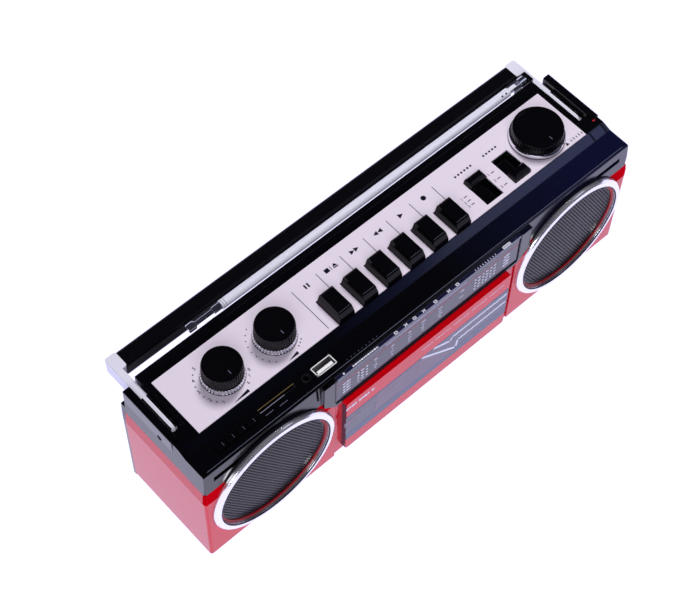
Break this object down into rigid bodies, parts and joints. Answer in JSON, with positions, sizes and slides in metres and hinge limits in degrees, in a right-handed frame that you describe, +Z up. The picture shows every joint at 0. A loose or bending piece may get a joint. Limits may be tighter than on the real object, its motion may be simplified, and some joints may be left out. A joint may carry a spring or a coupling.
{
  "type": "portable radio cassette player",
  "caption": "Portable stereo radio cassette player with front cassette door, top keys and knobs, round speakers, swinging handle and telescopic antenna.",
  "frame": {"origin": "middle of the footprint, on the surface that the feet stand on", "axes": "+X to the listener's right along the width, +Y from the front to the back, +Z up"},
  "size_m": [0.3498, 0.1014, 0.1224],
  "materials": {
    "red_plastic": "high gloss moulded",
    "black_plastic": "satin gloss moulded",
    "base_plastic": "fine texture",
    "foot_rubber": "matte",
    "silver_panel": "satin silver",
    "ring_silver": "pearl silver",
    "arm_silver": "satin silver",
    "clear_lens": "clear",
    "window_smoke": "tinted clear",
    "scale_print": "printed",
    "pointer_red": "gloss",
    "mesh_black": "perforated satin",
    "chrome": "mirror",
    "steel": "brushed",
    "paper_cone": "pressed paper",
    "white_insulator": "moulded",
    "board_green": "laminate",
    "belt_rubber": "matte",
    "ferrite": "matte",
    "brass_flywheel": "machined"
  },
  "bodies": {
    "case": {"front_shell": "red_plastic", "top_shell": "black_plastic", "rear_shell": "black_plastic", "base_plate": "base_plastic", "rubber_feet": "foot_rubber", "control_panel": "silver_panel", "dial_lens": "clear_lens", "dial_scale": "scale_print", "speaker_ring_left": "ring_silver", "speaker_ring_right": "ring_silver", "speaker_grilles": "mesh_black", "speaker_drivers": "steel", "speaker_cones": "paper_cone", "tuning_capacitor": "white_insulator", "handle_pivot_screws": "steel", "usb_socket": "steel", "card_socket": "steel", "aux_jack": "black_plastic", "main_board": "board_green", "deck_chassis": "steel", "motor": "steel", "drive_belt": "belt_rubber", "ferrite_rod": "ferrite", "transformer": "steel", "ac_inlet": "base_plastic"},
    "tuning_knob": {"tuning_knob": "black_plastic"},
    "volume_knob": {"volume_knob": "black_plastic"},
    "bass_knob": {"bass_knob": "black_plastic"},
    "pointer": {"dial_pointer": "pointer_red"},
    "door": {"cassette_door": "red_plastic", "door_window": "window_smoke", "cassette_holder": "base_plastic"},
    "battery_door": {"battery_door": "black_plastic"},
    "function_slider": {"function_slider": "black_plastic"},
    "band_slider": {"band_slider": "black_plastic"},
    "handle": {"handle_arm_left": "arm_silver", "handle_arm_right": "arm_silver", "handle_grip": "black_plastic"},
    "antenna_base": {"antenna_base": "chrome"},
    "antenna_elbow": {"antenna_elbow": "chrome", "antenna_tube_outer": "chrome"},
    "antenna_middle": {"antenna_tube_middle": "chrome"},
    "antenna_rod": {"antenna_tube_inner": "chrome", "antenna_tip": "chrome"},
    "flywheel": {"flywheel": "brass_flywheel"},
    "motor_pulley": {"motor_pulley": "brass_flywheel"},
    "supply_spindle": {"spindle_supply": "white_insulator"},
    "takeup_spindle": {"spindle_takeup": "white_insulator"},
    "head_plate": {"head_plate": "steel"},
    "pinch_roller": {"pinch_roller": "belt_rubber"},
    "key_pause": {"key_pause": "black_plastic"},
    "key_stop": {"key_stop": "black_plastic"},
    "key_forward": {"key_forward": "black_plastic"},
    "key_rewind": {"key_rewind": "black_plastic"},
    "key_play": {"key_play": "black_plastic"},
    "key_record": {"key_record": "black_plastic"},
    "media_button_1": {"media_button_1": "black_plastic"},
    "media_button_2": {"media_button_2": "black_plastic"},
    "media_button_3": {"media_button_3": "black_plastic"},
    "media_button_4": {"media_button_4": "black_plastic"}
  },
  "joints": [
    {"name": "handle_swing", "type": "hinge", "parent": "case", "child": "handle", "pos_m": [0, -0.00665, 0.099], "axis": [1, 0, 0], "range_deg": [0, 90]},
    {"name": "volume_turn", "type": "hinge", "parent": "case", "child": "volume_knob", "pos_m": [-0.1235, -0.00395, 0.1084], "axis": [0, 0, 1], "range_deg": [-150, 150]},
    {"name": "bass_turn", "type": "hinge", "parent": "case", "child": "bass_knob", "pos_m": [-0.0842, -0.00395, 0.1084], "axis": [0, 0, 1], "range_deg": [-150, 150]},
    {"name": "tuning_turn", "type": "hinge", "parent": "case", "child": "tuning_knob", "pos_m": [0.1322, -0.00395, 0.1084], "axis": [0, 0, 1], "range_deg": [0, 720]},
    {"name": "pointer_slide", "type": "slide", "parent": "case", "child": "pointer", "axis": [1, 0, 0], "range_m": [0, 0.12]},
    {"name": "door_swing", "type": "hinge", "parent": "case", "child": "door", "pos_m": [0, -0.04225, 0.0092], "axis": [1, 0, 0], "range_deg": [0, 28]},
    {"name": "battery_door_slide", "type": "slide", "parent": "case", "child": "battery_door", "axis": [0, 1, 0], "range_m": [0, 0.04]},
    {"name": "function_slide", "type": "slide", "parent": "case", "child": "function_slider", "axis": [0, -1, 0], "range_m": [0, 0.0136]},
    {"name": "band_slide", "type": "slide", "parent": "case", "child": "band_slider", "axis": [0, 1, 0], "range_m": [0, 0.0136]},
    {"name": "key_pause_press", "type": "slide", "parent": "case", "child": "key_pause", "axis": [0, 0, -1], "range_m": [0, 0.005], "stiffness_N_per_m": 300},
    {"name": "key_stop_press", "type": "slide", "parent": "case", "child": "key_stop", "axis": [0, 0, -1], "range_m": [0, 0.005], "stiffness_N_per_m": 300},
    {"name": "key_forward_press", "type": "slide", "parent": "case", "child": "key_forward", "axis": [0, 0, -1], "range_m": [0, 0.005], "stiffness_N_per_m": 300},
    {"name": "key_rewind_press", "type": "slide", "parent": "case", "child": "key_rewind", "axis": [0, 0, -1], "range_m": [0, 0.005], "stiffness_N_per_m": 300},
    {"name": "key_play_press", "type": "slide", "parent": "case", "child": "key_play", "axis": [0, 0, -1], "range_m": [0, 0.005], "stiffness_N_per_m": 300},
    {"name": "key_record_press", "type": "slide", "parent": "case", "child": "key_record", "axis": [0, 0, -1], "range_m": [0, 0.005], "stiffness_N_per_m": 300},
    {"name": "media_button_1_press", "type": "slide", "parent": "case", "child": "media_button_1", "axis": [0, 0, -1], "range_m": [0, 0.0008], "stiffness_N_per_m": 400},
    {"name": "media_button_2_press", "type": "slide", "parent": "case", "child": "media_button_2", "axis": [0, 0, -1], "range_m": [0, 0.0008], "stiffness_N_per_m": 400},
    {"name": "media_button_3_press", "type": "slide", "parent": "case", "child": "media_button_3", "axis": [0, 0, -1], "range_m": [0, 0.0008], "stiffness_N_per_m": 400},
    {"name": "media_button_4_press", "type": "slide", "parent": "case", "child": "media_button_4", "axis": [0, 0, -1], "range_m": [0, 0.0008], "stiffness_N_per_m": 400},
    {"name": "head_slide", "type": "slide", "parent": "case", "child": "head_plate", "axis": [0, 0, -1], "range_m": [0, 0.004]},
    {"name": "antenna_swivel", "type": "hinge", "parent": "case", "child": "antenna_base", "pos_m": [0.149, 0.03285, 0.1083], "axis": [1, 0, 0], "range_deg": [-20, 20]},
    {"name": "antenna_raise", "type": "hinge", "parent": "antenna_base", "child": "antenna_elbow", "pos_m": [0.149, 0.03285, 0.1083], "axis": [0, 1, 0], "range_deg": [0, 90]},
    {"name": "antenna_extend_middle", "type": "slide", "parent": "antenna_elbow", "child": "antenna_middle", "axis": [-1, 0, 0], "range_m": [0, 0.2]},
    {"name": "antenna_extend_rod", "type": "slide", "parent": "antenna_middle", "child": "antenna_rod", "axis": [-1, 0, 0], "range_m": [0, 0.2]},
    {"name": "flywheel_spin", "type": "hinge", "parent": "case", "child": "flywheel", "pos_m": [0.03, -0.02125, 0.064], "axis": [0, 1, 0], "continuous": true},
    {"name": "motor_spin", "type": "hinge", "parent": "case", "child": "motor_pulley", "pos_m": [-0.036, -0.02125, 0.026], "axis": [0, 1, 0], "continuous": true},
    {"name": "supply_spin", "type": "hinge", "parent": "case", "child": "supply_spindle", "pos_m": [-0.02125, -0.02625, 0.038], "axis": [0, 1, 0], "continuous": true},
    {"name": "takeup_spin", "type": "hinge", "parent": "case", "child": "takeup_spindle", "pos_m": [0.02125, -0.02625, 0.038], "axis": [0, 1, 0], "continuous": true},
    {"name": "pinch_spin", "type": "hinge", "parent": "head_plate", "child": "pinch_roller", "pos_m": [0.029, -0.03325, 0.0719], "axis": [0, 1, 0], "continuous": true}
  ],
  "couplings": [
    {"joint": "pointer_slide", "follows": "tuning_turn", "m_per_rad": 0.0094697},
    {"joint": "head_slide", "follows": "key_play_press", "ratio": 0.8},
    {"joint": "motor_spin", "follows": "flywheel_spin", "ratio": 3.3158},
    {"joint": "takeup_spin", "follows": "flywheel_spin", "ratio": 0.1},
    {"joint": "supply_spin", "follows": "flywheel_spin", "ratio": 0.1},
    {"joint": "pinch_spin", "follows": "flywheel_spin", "ratio": -0.46154}
  ]
}
